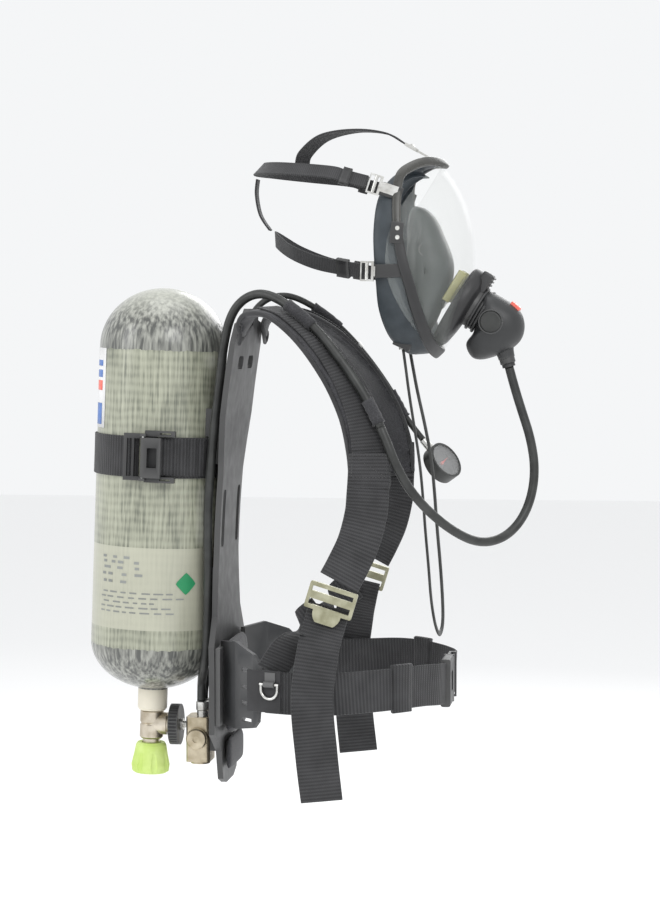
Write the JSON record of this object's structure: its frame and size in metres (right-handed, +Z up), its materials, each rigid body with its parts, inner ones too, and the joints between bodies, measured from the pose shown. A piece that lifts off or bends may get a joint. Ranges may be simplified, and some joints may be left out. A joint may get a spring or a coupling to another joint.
{
  "type": "self-contained breathing apparatus",
  "caption": "Back-worn breathing set: composite air cylinder on a padded plate and harness, pressure reducer, hose over the shoulder, and a full face mask with demand valve.",
  "frame": {"origin": "centre of the flat front face of the lumbar pad, where the set rests on the wearer's back", "axes": "+X forward, the way the wearer faces; +Y to the wearer's left; +Z up"},
  "size_m": [0.5582, 0.3578, 0.8059],
  "materials": {
    "wrap": "satin",
    "collar": "satin",
    "nickel": "satin",
    "brass": "satin",
    "steel": "satin",
    "lime": "matte",
    "black_plastic": "matte",
    "grey_plastic": "matte",
    "rubber": "matte",
    "webbing": "woven",
    "padding": "woven",
    "silicone": "satin",
    "visor": "clear",
    "lens": "clear",
    "red": "satin"
  },
  "bodies": {
    "root": {"cylinder_shell": "wrap", "neck_collar": "collar", "valve_body": "nickel", "gland_nut": "nickel", "inlet_stem": "steel", "reducer_body": "brass", "reducer_caps": "brass", "reducer_spring": "steel", "relief_valve": "brass", "hose_unions": "steel", "reducer_bracket": "grey_plastic", "back_plate": "grey_plastic", "cylinder_saddles": "black_plastic", "cylinder_strap": "webbing", "strap_buckle": "black_plastic", "cam_pin": "steel", "lumbar_pad": "padding", "hip_wings": "grey_plastic", "shoulder_pads": "padding", "shoulder_straps": "webbing", "pull_straps": "webbing", "hose_run_right": "rubber", "supply_hose": "rubber", "hose_run_left": "rubber", "hose_sleeves": "webbing", "warning_whistle": "steel", "belt_keepers": "webbing", "belt_buckle_female": "black_plastic", "waist_belt": "webbing"},
    "handwheel": {"handwheel": "lime", "valve_spindle": "steel"},
    "coupling": {"coupling_wheel": "rubber"},
    "lever": {"cam_lever": "black_plastic"},
    "buckle_right": {"shoulder_buckle_right": "steel"},
    "buckle_left": {"shoulder_buckle_left": "steel"},
    "belt_male": {"belt_buckle_male": "black_plastic"},
    "ring_right": {"d_ring_right": "steel"},
    "ring_left": {"d_ring_left": "steel"},
    "piston": {"reducer_piston": "brass"},
    "gauge": {"gauge_case": "rubber", "gauge_lens": "lens"},
    "needle": {"gauge_needle": "red"},
    "mask": {"visor": "visor", "frame_upper": "black_plastic", "frame_lower": "black_plastic", "frame_fasteners": "steel", "face_seal": "silicone", "inner_mask": "silicone", "inhalation_valves": "black_plastic", "port_housing": "black_plastic", "speech_diaphragm": "steel", "valve_shell": "black_plastic", "diaphragm": "silicone", "hose_nut": "black_plastic", "lock_ring": "black_plastic", "head_harness": "webbing", "harness_buckles": "steel", "neck_strap": "webbing"},
    "red_button": {"red_button": "red"},
    "press_button": {"press_button": "rubber"}
  },
  "joints": [
    {"name": "head_turn", "type": "hinge", "parent": "root", "child": "mask", "pos_m": [0.105, 0, 0.5], "axis": [0, 0, 1], "range_deg": [-35, 35]},
    {"name": "cylinder_valve_turn", "type": "hinge", "parent": "root", "child": "handwheel", "pos_m": [-0.11638, 0, -0.09794], "axis": [0.0359, 0, 0.9994], "range_deg": [0, 720]},
    {"name": "coupling_turn", "type": "hinge", "parent": "root", "child": "coupling", "pos_m": [-0.0856, 0, -0.04901], "axis": [1, 0, 0], "continuous": true},
    {"name": "strap_lever_lift", "type": "hinge", "parent": "root", "child": "lever", "pos_m": [-0.10503, -0.0927, 0.2899], "axis": [-0.0359, 0, -0.9994], "range_deg": [0, 100]},
    {"name": "right_buckle_tilt", "type": "hinge", "parent": "root", "child": "buckle_right", "pos_m": [0.13835, -0.158, 0.14091], "axis": [-0.9563, 0, 0.2924], "range_deg": [0, 35]},
    {"name": "left_buckle_tilt", "type": "hinge", "parent": "root", "child": "buckle_left", "pos_m": [0.13835, 0.158, 0.14091], "axis": [0.9563, 0, -0.2924], "range_deg": [0, 35]},
    {"name": "belt_buckle_open", "type": "slide", "parent": "root", "child": "belt_male", "axis": [0, 1, 0], "range_m": [0, 0.03]},
    {"name": "right_ring_swing", "type": "hinge", "parent": "root", "child": "ring_right", "pos_m": [0.0598, -0.1526, 0.026], "axis": [-0.9397, 0.342, 0], "range_deg": [0, 90]},
    {"name": "left_ring_swing", "type": "hinge", "parent": "root", "child": "ring_left", "pos_m": [0.0598, 0.1526, 0.026], "axis": [0.9397, 0.342, 0], "range_deg": [0, 90]},
    {"name": "reducer_piston_lift", "type": "slide", "parent": "root", "child": "piston", "axis": [0, 0, 1], "range_m": [0, 0.002], "stiffness_N_per_m": 2000, "deforming": ["reducer_spring"]},
    {"name": "gauge_swivel", "type": "hinge", "parent": "root", "child": "gauge", "pos_m": [0.212, 0.139, 0.303], "axis": [0.6293, 0.0858, -0.7724], "range_deg": [-90, 90]},
    {"name": "gauge_needle_turn", "type": "hinge", "parent": "gauge", "child": "needle", "pos_m": [0.23661, 0.14236, 0.2728], "axis": [0.7097, -0.4685, 0.5262], "range_deg": [0, 270]},
    {"name": "red_button_press", "type": "slide", "parent": "mask", "child": "red_button", "axis": [-0.66, 0, -0.7513], "range_m": [0, 0.0025], "stiffness_N_per_m": 800},
    {"name": "press_button_push", "type": "slide", "parent": "mask", "child": "press_button", "axis": [0, 1, 0], "range_m": [0, 0.004], "stiffness_N_per_m": 600}
  ]
}
